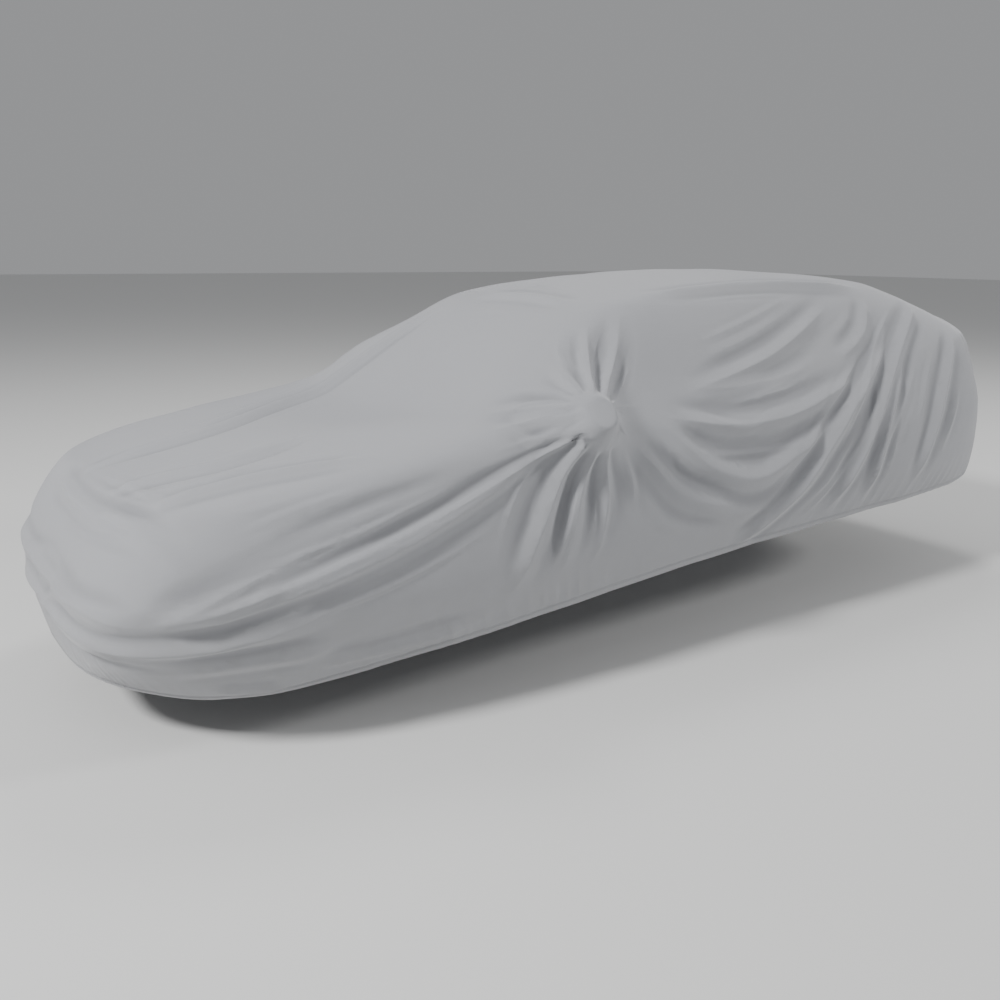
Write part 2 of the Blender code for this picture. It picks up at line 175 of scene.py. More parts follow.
def pullOutPocket(rows):
    tipX, tipY, tipZ = pocket["tip"]
    fromTip = np.hypot(rows[..., 1] - tipY, (rows[..., 2] - tipZ) / pocket["tallness"])
    atTheSide = rows[..., 0] > pocket["sideStarts"]
    nearest = np.unravel_index(np.argmin(np.where(atTheSide, fromTip, np.inf)), fromTip.shape)
    pull = tipX - rows[nearest][0]
    past = fromTip - pocket["capRadius"]
    share = 1 - (past + np.hypot(past, pocket["softness"])) / 2 / pocket["reach"]
    rows[..., 0] += pull * np.clip(share, 0, 1) ** pocket["curve"] * atTheSide
    return rows


def clothGrid():
    # points, faces, and each point's height above the hem's edge, measured up the cloth
    places = placesRound()
    rings = np.stack([ringPoints(ring, places) for ring in cloth["rings"].values()], axis=1)
    rings[:, -1, 2] = roofHeight(rings[:, -1, 1])
    left = pullOutPocket(stretchedOver(rings, list(cloth["rowsUpTo"].values())))
    right = left[:, -2:0:-1] * (-1, 1, 1)
    around = np.concatenate([left[:-1], right[:-1]], axis=1)
    rows, columns = around.shape[:2]
    steps = np.linalg.norm(np.diff(around, axis=0), axis=2)
    climb = np.concatenate([np.zeros((1, columns)), np.cumsum(steps, axis=0)])
    points = np.concatenate([around.reshape(-1, 3), left[-1]])
    half = len(places)
    climb = np.concatenate([climb.ravel(), np.full(half, climb.max())])
    index = np.arange(rows * columns).reshape(rows, columns)
    onRidge = rows * columns + np.concatenate([np.arange(half), np.arange(half - 2, 0, -1)])
    index = np.concatenate([index, onRidge[None]])
    after = np.roll(index, -1, axis=1)
    faces = np.stack([index[:-1], after[:-1], after[1:], index[1:]], axis=-1).reshape(-1, 4)
    return points, faces, climb, columns


# How faces that the thinning turned over are laid flat again.
relaxing = {"steps": 60, "turnedBelow": 0.55, "pull": 0.5}

# Folds, as soft ridges with a trough along each side. Each row: width, height, the shares of its length over
# which it fades in and out, and the points it runs through. Those of the right side are given as if they lay
# on the left.
folds = {
    "steps": 22,
    "near": 0.12,  # a fold only moves cloth whose own surface passes this near to it
    "ridgeWidth": 0.43,
    "ridgeSharpness": 1.22,  # 1 is a crisp ridge, 2 a round one
    "troughWidth": 0.55,
    "troughPlace": 1.12,
    "troughAbove": 0.56,  # depth of the trough on the upper side, against the ridge's height
    "troughBelow": 0.34,
    "darkest": 0.009,  # depth at which a trough gets its full painted shade
    "outward": {"left": (1.0, 0, 0.3), "right": (-1.0, 0, 0.3), "top": (0, -0.2, 1.0), "tail": (0, 1.0, 0.1)},
    "endWidth": 0.85,  # shares of the width at a fold's ends, and where an end lies at a pocket
    "pocketWidth": 0.40,
    "pocketNear": 0.19,
    "pocketFade": 0.55,
    "mostShift": 0.034,
    "mostAtPocket": 0.008,
    "atHem": 0.20,  # share of the folds left at the hem's edge
    "fromHem": 0.085,
    "left": [
        # from the nose's corner back to the pocket
        (0.055, 0.012, 0.10, 0.25, ((0.70, 0.17, 0.49), (0.85, 0.68, 0.70), (0.86, 1.23, 0.85))),
        (0.050, 0.019, 0.10, 0.10, ((0.72, 0.18, 0.49), (0.88, 0.90, 0.69), (0.94, 1.59, 0.96))),
        (0.045, 0.019, 0.15, 0.25, ((0.74, 0.24, 0.48), (0.88, 0.86, 0.64), (0.88, 1.45, 0.87))),
        (0.045, 0.013, 0.30, 0.30, ((0.78, 0.36, 0.45), (0.83, 0.51, 0.49), (0.86, 0.64, 0.53))),
        # round the nose and low down behind it
        (0.050, 0.014, 0.25, 0.30, ((0.60, 0.21, 0.31), (0.75, 0.46, 0.33), (0.81, 0.75, 0.34))),
        (0.050, 0.014, 0.25, 0.30, ((0.75, 0.59, 0.28), (0.82, 1.00, 0.31), (0.85, 1.26, 0.34))),
        (0.040, 0.010, 0.30, 0.30, ((0.62, 0.35, 0.22), (0.66, 0.46, 0.21), (0.70, 0.60, 0.20))),
        (
            0.055, 0.012, 0.15, 0.10,
            ((-0.72, 0.15, 0.52), (-0.42, 0.02, 0.51), (0.19, 0.01, 0.50), (0.48, 0.03, 0.51), (0.70, 0.17, 0.49)),
        ),
        (
            0.055, 0.015, 0.20, 0.25,
            ((-0.55, 0.05, 0.41), (0.28, 0.00, 0.41), (0.63, 0.15, 0.39), (0.82, 0.52, 0.44), (0.88, 0.90, 0.58)),
        ),
        # the star that the pocket pulls
        (0.050, 0.021, 0.12, 0.40, ((0.90, 1.65, 1.08), (0.70, 1.78, 1.19), (0.54, 1.90, 1.32))),
        (0.050, 0.021, 0.12, 0.40, ((0.89, 1.71, 1.07), (0.73, 1.88, 1.16), (0.56, 2.05, 1.35))),
        (0.040, 0.014, 0.12, 0.50, ((0.88, 1.62, 1.09), (0.78, 1.62, 1.13), (0.67, 1.62, 1.17))),
        (0.045, 0.016, 0.12, 0.45, ((0.90, 1.59, 1.06), (0.78, 1.47, 1.04), (0.66, 1.32, 1.01))),
        (0.045, 0.016, 0.12, 0.45, ((0.93, 1.59, 1.03), (0.81, 1.46, 1.00), (0.76, 1.30, 0.97))),
        (0.060, 0.025, 0.12, 0.35, ((0.95, 1.62, 0.98), (0.90, 1.46, 0.70), (0.86, 1.30, 0.37))),
        (0.055, 0.023, 0.12, 0.40, ((0.93, 1.65, 0.91), (0.90, 1.59, 0.70), (0.88, 1.52, 0.44))),
        (0.050, 0.019, 0.12, 0.45, ((0.92, 1.70, 0.91), (0.90, 1.72, 0.76), (0.91, 1.71, 0.58))),
        # the swags between the pocket and the tail
        (0.060, 0.021, 0.25, 0.35, ((0.88, 1.85, 0.90), (0.91, 2.08, 0.68), (0.91, 2.43, 0.57))),
        (
            0.070, 0.027, 0.20, 0.30,
            ((0.83, 1.98, 0.98), (0.90, 2.21, 0.78), (0.91, 2.51, 0.69), (0.90, 2.76, 0.77), (0.88, 3.06, 0.89)),
        ),
        (0.065, 0.023, 0.20, 0.30, ((0.83, 2.02, 0.97), (0.87, 2.34, 0.91), (0.87, 2.66, 0.91), (0.82, 3.27, 1.06))),
        (0.060, 0.019, 0.30, 0.25, ((0.80, 2.17, 1.03), (0.74, 2.73, 1.15), (0.63, 3.25, 1.36))),
        (0.055, 0.017, 0.20, 0.35, ((0.63, 3.47, 1.36), (0.72, 3.37, 1.24), (0.79, 3.10, 1.10))),
        # the long pulls from the roof's rear corner down to the hem
        (0.060, 0.025, 0.25, 0.15, ((0.74, 3.54, 1.20), (0.88, 3.10, 0.90), (0.90, 2.71, 0.56), (0.85, 2.40, 0.38))),
        (0.060, 0.025, 0.15, 0.20, ((0.62, 3.85, 1.32), (0.77, 3.58, 1.16), (0.90, 3.20, 0.74), (0.86, 2.96, 0.44))),
        (0.050, 0.019, 0.25, 0.25, ((0.80, 3.56, 1.10), (0.90, 3.36, 0.80), (0.86, 3.23, 0.46))),
        (0.060, 0.023, 0.15, 0.25, ((0.73, 4.04, 1.18), (0.87, 3.79, 0.87), (0.87, 3.60, 0.50))),
    ],
    "top": [
        (
            0.052, 0.021, 0.15, 0.20,
            ((-0.11, 0.16, 0.78), (-0.13, 0.58, 0.88), (-0.30, 1.00, 0.95), (-0.40, 1.44, 1.11), (-0.38, 1.86, 1.34)),
        ),
        (0.048, 0.020, 0.20, 0.35, ((0.24, 0.17, 0.78), (0.37, 0.52, 0.88), (0.26, 0.93, 0.94))),
        (0.048, 0.020, 0.20, 0.35, ((0.53, 0.22, 0.80), (0.62, 0.57, 0.88), (0.73, 0.93, 0.92))),
        (0.052, 0.016, 0.15, 0.30, ((-0.34, 0.15, 0.75), (0.22, 0.13, 0.74), (0.52, 0.17, 0.75), (0.76, 0.32, 0.66))),
        (0.040, 0.010, 0.30, 0.30, ((0.33, 0.16, 0.77), (0.50, 0.18, 0.77), (0.63, 0.24, 0.76))),
        (0.052, 0.012, 0.25, 0.25, ((-0.24, 1.91, 1.37), (0.12, 1.93, 1.38), (0.45, 1.92, 1.36))),
        (0.048, 0.018, 0.20, 0.20, ((0.52, 2.15, 1.39), (0.54, 2.83, 1.43), (0.58, 3.52, 1.40))),
        (0.050, 0.015, 0.20, 0.20, ((-0.52, 2.20, 1.39), (-0.54, 2.83, 1.43), (-0.57, 3.46, 1.40))),
    ],
    "right": [
        (0.055, 0.018, 0.15, 0.10, ((0.74, 0.24, 0.52), (0.88, 0.92, 0.70), (0.94, 1.59, 0.97))),
        (0.050, 0.014, 0.25, 0.30, ((0.80, 0.42, 0.44), (0.88, 0.90, 0.58), (0.90, 1.34, 0.74))),
        (0.050, 0.018, 0.12, 0.40, ((0.90, 1.64, 1.08), (0.71, 1.74, 1.18), (0.55, 1.83, 1.31))),
        (0.050, 0.018, 0.12, 0.40, ((0.89, 1.72, 1.07), (0.72, 1.93, 1.17), (0.56, 2.13, 1.36))),
        (0.050, 0.016, 0.12, 0.45, ((0.91, 1.59, 1.05), (0.80, 1.45, 1.02), (0.70, 1.28, 0.99))),
        (0.060, 0.023, 0.12, 0.35, ((0.95, 1.62, 0.97), (0.90, 1.42, 0.68), (0.86, 1.20, 0.38))),
        (0.055, 0.021, 0.12, 0.40, ((0.93, 1.67, 0.92), (0.91, 1.68, 0.70), (0.89, 1.64, 0.46))),
        (0.060, 0.021, 0.25, 0.35, ((0.89, 1.88, 0.88), (0.91, 2.18, 0.64), (0.91, 2.62, 0.56))),
        (0.070, 0.025, 0.20, 0.30, ((0.84, 2.02, 0.97), (0.90, 2.40, 0.80), (0.90, 2.80, 0.80), (0.86, 3.22, 0.98))),
        (0.060, 0.017, 0.30, 0.25, ((0.79, 2.30, 1.06), (0.73, 2.80, 1.17), (0.62, 3.30, 1.36))),
        (0.060, 0.023, 0.25, 0.15, ((0.76, 3.50, 1.18), (0.88, 3.08, 0.86), (0.86, 2.60, 0.40))),
        (0.060, 0.023, 0.15, 0.20, ((0.64, 3.84, 1.31), (0.88, 3.40, 0.90), (0.86, 3.12, 0.45))),
        (0.060, 0.021, 0.15, 0.25, ((0.73, 4.06, 1.17), (0.88, 3.84, 0.84), (0.87, 3.70, 0.50))),
    ],
    "tail": [
        (0.060, 0.018, 0.20, 0.25, ((0.48, 4.02, 1.25), (0.66, 4.40, 0.90), (0.62, 4.47, 0.50))),
        (0.060, 0.018, 0.20, 0.25, ((-0.45, 4.05, 1.24), (-0.70, 4.38, 0.92), (-0.70, 4.45, 0.52))),
        (0.070, 0.020, 0.25, 0.25, ((0.60, 4.44, 0.86), (0.05, 4.50, 0.68), (-0.55, 4.45, 0.84))),
    ],
}

# Lesser wrinkles that lie beside the folds, and the hem's gathers.
wrinkles = {
    "seed": 7,
    "beside": 3,  # for each fold
    "away": (1.5, 3.0),  # in widths of the fold
    "depth": (0.12, 0.30),  # in depths of the fold
    "width": (0.32, 0.72),
    "start": (0.05, 0.30),
    "end": (0.60, 0.95),
    "rays": 17,  # round each pocket
    "rayReach": (0.17, 0.42),
    "rayWidth": (0.018, 0.030),
    "rayDepth": (0.0025, 0.0060),
    "swell": 0.0010,  # uneven rise and fall of the whole cloth
    "swellLengths": (0.12, 0.60),
    "swellWaves": 18,
    "gatherDepth": 0.0027,
    "gatherPitch": 0.052,
    "gatherFade": 0.130,
    "channel": 0.064,  # height of the elastic's channel, whose lower half is tucked under
    "channelBulge": 0.0024,
    "seamDip": 0.0026,
    "seamWidth": 0.0050,
}


def foldPath(through):
    given = np.array(through)
    reach = np.concatenate([[0], np.cumsum(np.linalg.norm(np.diff(given, axis=0), axis=1))])
    at = np.linspace(0, reach[-1], folds["steps"] + 1)
    return np.stack([throughPoints(at, reach, given[:, axis]) for axis in range(3)], axis=-1)


def nearPocket(point):
    tips = np.array(pocket["tip"]) * ((1, 1, 1), (-1, 1, 1))
    return np.linalg.norm(tips - point, axis=1).min() < folds["pocketNear"]


def allFolds():
    # width, height, fade in, fade out, path and outward direction of every fold
    found = []
    for zone, direction in folds["outward"].items():
        turn = (-1, 1, 1) if zone == "right" else (1, 1, 1)
        for width, depth, fadeIn, fadeOut, through in folds[zone]:
            path = foldPath(np.array(through) * turn)
            if nearPocket(path[0]):
                fadeOut = max(fadeOut, folds["pocketFade"])
            found.append((width, depth, fadeIn, fadeOut, path, np.array(direction)))
    return found


def pocketRays():
    # the short fine wrinkles that a pocket pulls out of the cloth all round it
    rng = np.random.default_rng(wrinkles["seed"] + 2)
    rays = []
    tipX, tipY, tipZ = pocket["tip"]
    for side in (1, -1):
        turns = np.linspace(0, 2 * math.pi, wrinkles["rays"], endpoint=False)
        for turn in turns + rng.uniform(-0.2, 0.2, wrinkles["rays"]):
            away = np.linspace(0.075, rng.uniform(*wrinkles["rayReach"]), 5)
            back = tipY + away * math.cos(turn)
            up = tipZ + away * math.sin(turn) * pocket["tallness"]
            out = (tipX - 0.03 - 0.70 * np.maximum(up - tipZ, 0)) * side
            width, depth = rng.uniform(*wrinkles["rayWidth"]), rng.uniform(*wrinkles["rayDepth"])
            path = foldPath(np.stack([out, back, up], axis=-1))
            rays.append((width, depth, 0.15, 0.75, path, np.array((side, 0, 0.3))))
    return rays


def wrinklesBeside(found):
    # shallower wrinkles that run along a stretch of each fold, on both sides of it
    rng = np.random.default_rng(wrinkles["seed"])
    lesser = []
    for width, depth, fadeIn, fadeOut, path, direction in found:
        for number in range(wrinkles["beside"]):
            side = 1 if number % 2 else -1
            away = rng.uniform(*wrinkles["away"]) * width * side
            lean = rng.uniform(-0.35, 0.35) * width
            start, end = rng.uniform(*wrinkles["start"]), rng.uniform(*wrinkles["end"])
            share = np.linspace(start, end, folds["steps"] + 1)
            at = share * folds["steps"]
            stretch = np.stack([np.interp(at, range(len(path)), path[:, axis]) for axis in range(3)], axis=-1)
            across = np.cross(np.gradient(stretch, axis=0), direction)
            across /= np.linalg.norm(across, axis=1)[:, None]
            shift = (away + lean * np.linspace(-1, 1, len(share))) * widthShare(path, share)
            lesser.append(
                (
                    width * rng.uniform(*wrinkles["width"]),
                    depth * rng.uniform(*wrinkles["depth"]),
                    0.35,
                    0.45,
                    stretch + across * shift[:, None],
                    direction,
                )
            )
    return lesser


def widthShare(path, share):
    # a fold that runs to a pocket is narrow there and fans out away from it
    start, end = (folds["pocketWidth"] if nearPocket(path[k]) else folds["endWidth"] for k in (0, -1))
    return throughPoints(share, (0, 0.5, 1), (start, 1, end))


def foldShift(points, normals, fold):
    width, height, fadeIn, fadeOut, path, direction = fold
    margin = 3 * width + folds["near"]
    inside = np.all((points > path.min(axis=0) - margin) & (points < path.max(axis=0) + margin), axis=1)
    reached = np.flatnonzero(inside)
    here, facing = points[reached], normals[reached]
    nearest = np.full(len(reached), np.inf)
    share = np.zeros(len(reached))
    above = np.zeros(len(reached))
    steps = len(path) - 1
    for step in range(steps):
        # the nearest place on the fold's line, as seen straight onto the cloth
        run = path[step + 1] - path[step]
        start = here - path[step]
        rise, lift = facing @ run, np.sum(start * facing, axis=1)
        seen = np.maximum(run @ run - rise**2, 1e-9)
        along = np.clip((start @ run - lift * rise) / seen, 0, 1)
        offset = start - along[:, None] * run
        lift = lift - along * rise
        flat = np.sum(offset * offset, axis=1) - lift**2
        flat = np.where(np.abs(lift) < folds["near"], np.maximum(flat, 0), np.inf)
        closer = flat < nearest
        nearest[closer] = flat[closer]
        share[closer] = (step + along[closer]) / steps
        above[closer] = offset[closer, 2]
    spread = widthShare(path, share)
    distance = np.sqrt(nearest) / (width * spread)
    strength = smoothStep(np.minimum(share / fadeIn, 1) * np.minimum((1 - share) / fadeOut, 1))
    strength = strength * np.minimum(spread, 1) ** 0.8
    ridge = np.exp(-((distance / folds["ridgeWidth"]) ** folds["ridgeSharpness"]))
    trough = np.exp(-(((distance - folds["troughPlace"]) / folds["troughWidth"]) ** 2))
    onTop = smoothStep(above / (0.6 * width * spread) * 0.5 + 0.5)
    sunk = folds["troughBelow"] + (folds["troughAbove"] - folds["troughBelow"]) * onTop
    return reached, height * strength * (ridge - sunk * trough)


def fromCap(points):
    outward = np.concatenate([np.abs(points[:, :1]), points[:, 1:]], axis=1)
    return np.linalg.norm(outward - pocket["tip"], axis=1) - pocket["capRadius"]


def pocketRim(points):
    # the ridge over the upper rear edge of either pocket's cap
    outward = np.abs(points[:, 0]) > pocket["sideStarts"]
    back, up = points[:, 1] - pocket["tip"][1], (points[:, 2] - pocket["tip"][2]) / pocket["tallness"]
    turn = (np.arctan2(up, back) - pocket["rimFrom"]) / (pocket["rimTo"] - pocket["rimFrom"])
    strength = smoothStep(np.minimum(turn, 1 - turn) / 0.3) * outward
    away = (np.hypot(back, up) - pocket["capRadius"]) / pocket["rimWidth"]
    return pocket["rimHeight"] * strength * np.exp(-(away**2))


def clothSwell(points):
    rng = np.random.default_rng(wrinkles["seed"] + 1)
    total = np.zeros(len(points))
    for wave in range(wrinkles["swellWaves"]):
        direction = rng.normal(size=3)
        direction /= np.linalg.norm(direction)
        length = rng.uniform(*wrinkles["swellLengths"])
        total += np.sin(points @ direction * 2 * math.pi / length + rng.uniform(0, 2 * math.pi))
    return total * wrinkles["swell"] / math.sqrt(wrinkles["swellWaves"] / 2)


def hemShift(points, climb):
    # the elastic's channel, the dip along its seam and the gathers that the elastic draws above it
    channel = wrinkles["channel"]
    bulge = wrinkles["channelBulge"] * np.sin(np.clip(climb / channel, 0, 1) * math.pi)
    dip = wrinkles["seamDip"] * np.exp(-(((climb - channel) / wrinkles["seamWidth"]) ** 2))
    around = np.arctan2(points[:, 0] * 2.4, points[:, 1] - 2.27) * 1.9  # runs on as one goes round the hem
    turn = 2 * math.pi * around / wrinkles["gatherPitch"]
    wander = 2.2 * np.sin(around * 7.3) + 1.4 * np.sin(around * 17.1 + 1.0)
    gather = 0.55 * np.sin(turn + wander) + 0.45 * np.sin(0.57 * turn + 2.0 * wander + 2.0)
    gather = gather - 0.35 * np.cos(2 * turn + 2 * wander)  # sharper troughs than crests
    rise = np.clip((climb - channel) / 0.045, -0.7, 1) * 0.5 + 0.5
    fade = rise * np.exp(-np.clip(climb - 0.09, 0, 1) / wrinkles["gatherFade"] * 2)
    uneven = 0.55 + 0.45 * np.sin(around * 3.7 + 0.5 + np.sin(around * 1.3))
    return bulge - dip + wrinkles["gatherDepth"] * gather * fade * uneven


def meshNormals(mesh):
    normals = np.empty(len(mesh.vertices) * 3, np.float32)
    mesh.vertex_normals.foreach_get("vector", normals)
    return normals.reshape(-1, 3).astype(float)


def clothMesh():
    points, faces, climb, columns = clothGrid()
    mesh = bpy.data.meshes.new("coverCloth")
    mesh.from_pydata(points.tolist(), [], faces.tolist())
    normals = meshNormals(mesh)
    found = allFolds()
    shift = np.zeros(len(points))
    for fold in found + wrinklesBeside(found) + pocketRays():
        reached, moved = foldShift(points, normals, fold)
        shift[reached] += moved
    beyondCap = fromCap(points)
    awayFromCap = smoothStep(beyondCap / (pocket["tautRadius"] - pocket["capRadius"]))
    most = np.clip(folds["mostAtPocket"] + 0.11 * beyondCap, 0.004, folds["mostShift"])
    shift = most * np.tanh(shift / most)
    shift *= folds["atHem"] + (1 - folds["atHem"]) * smoothStep(climb / folds["fromHem"])
    # the trough attribute is the mask for painted shade: how deep each point lies in a fold's trough, where the
    # material darkens the colour
    trough = np.clip(-shift / folds["darkest"], 0, 1) * awayFromCap
    shift = (shift + clothSwell(points)) * awayFromCap + pocketRim(points) + hemShift(points, climb)
    points = points + normals * shift[:, None] - cloth["roofRest"]
    mesh.vertices.foreach_set("co", points.astype(np.float32).ravel())
    mesh.update()
    mesh.attributes.new("trough", "FLOAT", "POINT").data.foreach_set("value", trough.astype(np.float32))
    facing = meshNormals(mesh).astype(np.float32)
    mesh.attributes.new("facing", "FLOAT_VECTOR", "POINT").data.foreach_set("vector", facing.ravel())
    return mesh, climb, columns


def plainMesh(piece):
    # the piece with its modifiers applied
    graph = bpy.context.evaluated_depsgraph_get()
    mesh = bpy.data.meshes.new_from_object(piece.evaluated_get(graph), depsgraph=graph)
    piece.modifiers.clear()
    piece.data = mesh
    mesh.name = piece.name
    return piece


def facingOf(mesh):
    facing = np.empty(len(mesh.vertices) * 3, np.float32)
    mesh.attributes["facing"].data.foreach_get("vector", facing)
    facing = facing.reshape(-1, 3)
    return facing / np.linalg.norm(facing, axis=1)[:, None]


def relaxSlivers(mesh):
    # slide the corners of faces that the thinning turned over, within the cloth's surface, until they lie flat
    count = len(mesh.vertices)
    points = np.empty(count * 3, np.float32)
    mesh.vertices.foreach_get("co", points)
    points = points.reshape(-1, 3)
    corners = np.empty(len(mesh.polygons) * 3, np.int32)
    mesh.polygons.foreach_get("vertices", corners)
    corners = corners.reshape(-1, 3)
    edges = np.empty(len(mesh.edges) * 2, np.int32)
    mesh.edges.foreach_get("vertices", edges)
    edges = edges.reshape(-1, 2)
    sides = np.sort(np.concatenate([corners[:, [0, 1]], corners[:, [1, 2]], corners[:, [2, 0]]]), axis=1)
    pairs, uses = np.unique(sides, axis=0, return_counts=True)
    fixed = np.zeros(count, bool)
    fixed[pairs[uses == 1].ravel()] = True
    facing = facingOf(mesh)
    for _ in range(relaxing["steps"]):
        a, b, c = (points[corners[:, k]] for k in range(3))
        normals = np.cross(b - a, c - a)
        normals /= np.maximum(np.linalg.norm(normals, axis=1), 1e-12)[:, None]
        turned = np.sum(normals * facing[corners].mean(axis=1), axis=1) < relaxing["turnedBelow"]
        moving = np.zeros(count, bool)
        moving[corners[turned].ravel()] = True
        moving &= ~fixed
        if not moving.any():
            break
        total = np.zeros_like(points)
        shared = np.zeros(count)
        for near, far in ((0, 1), (1, 0)):
            np.add.at(total, edges[:, near], points[edges[:, far]])
            np.add.at(shared, edges[:, near], 1)
        pull = total[moving] / shared[moving, None] - points[moving]
        pull -= facing[moving] * np.sum(pull * facing[moving], axis=1)[:, None]
        points[moving] += relaxing["pull"] * pull
    print("cloth thinned out, turned faces left:", int(turned.sum()))
    mesh.vertices.foreach_set("co", points.ravel())
    mesh.update()


def buildCloth():
    mesh, climb, columns = clothMesh()
    piece = bpy.data.objects.new("coverCloth", mesh)
    bpy.context.scene.collection.objects.link(piece)
    group = piece.vertex_groups.new(name="thickness")
    inHem = np.flatnonzero(climb < cloth["hemHeight"])
    group.add(range(len(mesh.vertices)), cloth["thickness"] / cloth["hemThickness"], "REPLACE")
    group.add(inHem.tolist(), 1.0, "REPLACE")
    seam = hemLines(mesh, climb, columns)
    thinOut = piece.modifiers.new("thinOut", "DECIMATE")
    thinOut.ratio = cloth["triangles"] / (2 * len(mesh.polygons))
    thinOut.use_collapse_triangulate = True
    plainMesh(piece)
    relaxSlivers(piece.data)
    facing = facingOf(piece.data)
    thickness = piece.modifiers.new("thickness", "SOLIDIFY")
    thickness.thickness = cloth["hemThickness"]
    thickness.offset = -1
    thickness.vertex_group = group.name
    plainMesh(piece)
    piece.data.shade_smooth()
    both = np.concatenate([facing, -facing])
    if len(both) == len(piece.data.vertices):
        piece.data.normals_split_custom_set_from_vertices(both.tolist())
    return piece, seam


# The hem's two rows of stitches.
stitches = {
    "heights": (0.0590, 0.0650),
    "pitch": 0.0075,
    "length": 0.0054,
    "thread": 0.0015,
    "lift": 0.0003,
    "reach": 0.010,  # how far off the cloth the outer face is looked for
    "lowRows": 46,  # rows of the cloth's grid that are sure to reach past the hem
    "uneven": (0.86, 1.10),
    "colours": ((0.170, 0.173, 0.186), (0.270, 0.274, 0.290)),
    "strandScale": 420.0,
    "seed": 11,
}


def hemLines(mesh, climb, columns):
    # for each row of stitches, the cloth's points and normals at its height all the way round
    points = np.empty(len(mesh.vertices) * 3, np.float32)
    mesh.vertices.foreach_get("co", points)
    both = np.concatenate([points.reshape(-1, 3), meshNormals(mesh)], axis=1)
    low = stitches["lowRows"]
    grid = both[: low * columns].reshape(low, columns, 6)
    heights = climb[: low * columns].reshape(low, columns)
    lines = []
    for height in stitches["heights"]:
        above = np.argmax(heights >= height, axis=0)
        upper, lower = heights[above, range(columns)], heights[above - 1, range(columns)]
        share = ((height - lower) / (upper - lower))[:, None]
        lines.append(grid[above - 1, range(columns)] * (1 - share) + grid[above, range(columns)] * share)
    return lines


def stitchTree():
    tree = bpy.data.node_groups.new("hemStitching", "GeometryNodeTree")
    face = tree.interface
    face.new_socket("Geometry", in_out="INPUT", socket_type="NodeSocketGeometry")
    sockets = {}
    for name in ("Pitch", "Length", "Thread"):
        sockets[name] = face.new_socket(name, in_out="INPUT", socket_type="NodeSocketFloat").identifier
    sockets["Seed"] = face.new_socket("Seed", in_out="INPUT", socket_type="NodeSocketInt").identifier
    sockets["Material"] = face.new_socket("Material", in_out="INPUT", socket_type="NodeSocketMaterial").identifier
    face.new_socket("Geometry", in_out="OUTPUT", socket_type="NodeSocketGeometry")
    add, link = tree.nodes.new, tree.links.new
    given, made = add("NodeGroupInput"), add("NodeGroupOutput")

    spread = add("GeometryNodeResampleCurve")
    spread.mode = "LENGTH"
    link(given.outputs["Geometry"], spread.inputs["Curve"])
    link(given.outputs["Pitch"], spread.inputs["Length"])

    bead = add("GeometryNodeMeshIcoSphere")
    bead.inputs["Radius"].default_value = 0.5
    bead.inputs["Subdivisions"].default_value = 1
    smooth = add("GeometryNodeSetShadeSmooth")
    link(bead.outputs["Mesh"], smooth.inputs["Geometry"])

    tangent = add("GeometryNodeInputTangent")
    turn = add("FunctionNodeAlignRotationToVector")
    turn.axis = "X"
    link(tangent.outputs["Tangent"], turn.inputs["Vector"])

    uneven = add("FunctionNodeRandomValue")
    uneven.inputs[2].default_value, uneven.inputs[3].default_value = stitches["uneven"]
    link(given.outputs["Seed"], uneven.inputs["Seed"])
    longer = add("ShaderNodeMath")
    longer.operation = "MULTIPLY"
    link(given.outputs["Length"], longer.inputs[0])
    link(uneven.outputs[1], longer.inputs[1])
    size = add("ShaderNodeCombineXYZ")
    link(longer.outputs[0], size.inputs["X"])
    link(given.outputs["Thread"], size.inputs["Y"])
    link(given.outputs["Thread"], size.inputs["Z"])

    place = add("GeometryNodeInstanceOnPoints")
    link(spread.outputs["Curve"], place.inputs["Points"])
    link(smooth.outputs["Geometry"], place.inputs["Instance"])
    link(turn.outputs["Rotation"], place.inputs["Rotation"])
    link(size.outputs["Vector"], place.inputs["Scale"])
    real = add("GeometryNodeRealizeInstances")
    link(place.outputs["Instances"], real.inputs["Geometry"])
    paint = add("GeometryNodeSetMaterial")
    link(real.outputs["Geometry"], paint.inputs["Geometry"])
    link(given.outputs["Material"], paint.inputs["Material"])
    link(paint.outputs["Geometry"], made.inputs["Geometry"])
    return tree, sockets


def buildStitches(clothPiece, lines, thread):
    graph = bpy.context.evaluated_depsgraph_get()
    surface = BVHTree.FromObject(clothPiece, graph)
    curve = bpy.data.curves.new("hemStitches", "CURVE")
    curve.dimensions = "3D"
    for line in lines:
        spline = curve.splines.new("POLY")
        spline.points.add(len(line) - 1)
        spline.use_cyclic_u = True
        for point, given in zip(spline.points, line):
            place, outward = Vector(given[:3].tolist()), Vector(given[3:].tolist()).normalized()
            hit = surface.ray_cast(place + outward * stitches["reach"], -outward, 2 * stitches["reach"])[0]
            point.co = (*((hit or place) + outward * stitches["lift"]), 1.0)
    source = bpy.data.objects.new("hemStitches", curve)
    bpy.context.scene.collection.objects.link(source)
    tree, sockets = stitchTree()
    modifier = source.modifiers.new("stitching", "NODES")
    modifier.node_group = tree
    modifier[sockets["Pitch"]] = stitches["pitch"]
    modifier[sockets["Length"]] = stitches["length"]
    modifier[sockets["Thread"]] = stitches["thread"]
    modifier[sockets["Seed"]] = stitches["seed"]
    modifier[sockets["Material"]] = thread
    source.data.update_tag()
    graph = bpy.context.evaluated_depsgraph_get()
    mesh = bpy.data.meshes.new_from_object(source.evaluated_get(graph), depsgraph=graph)
    bpy.data.objects.remove(source, do_unlink=True)
    mesh.name = "hemStitches"
    mesh.materials.clear()
    mesh.materials.append(thread)
    piece = bpy.data.objects.new("hemStitches", mesh)
    bpy.context.scene.collection.objects.link(piece)
    return piece
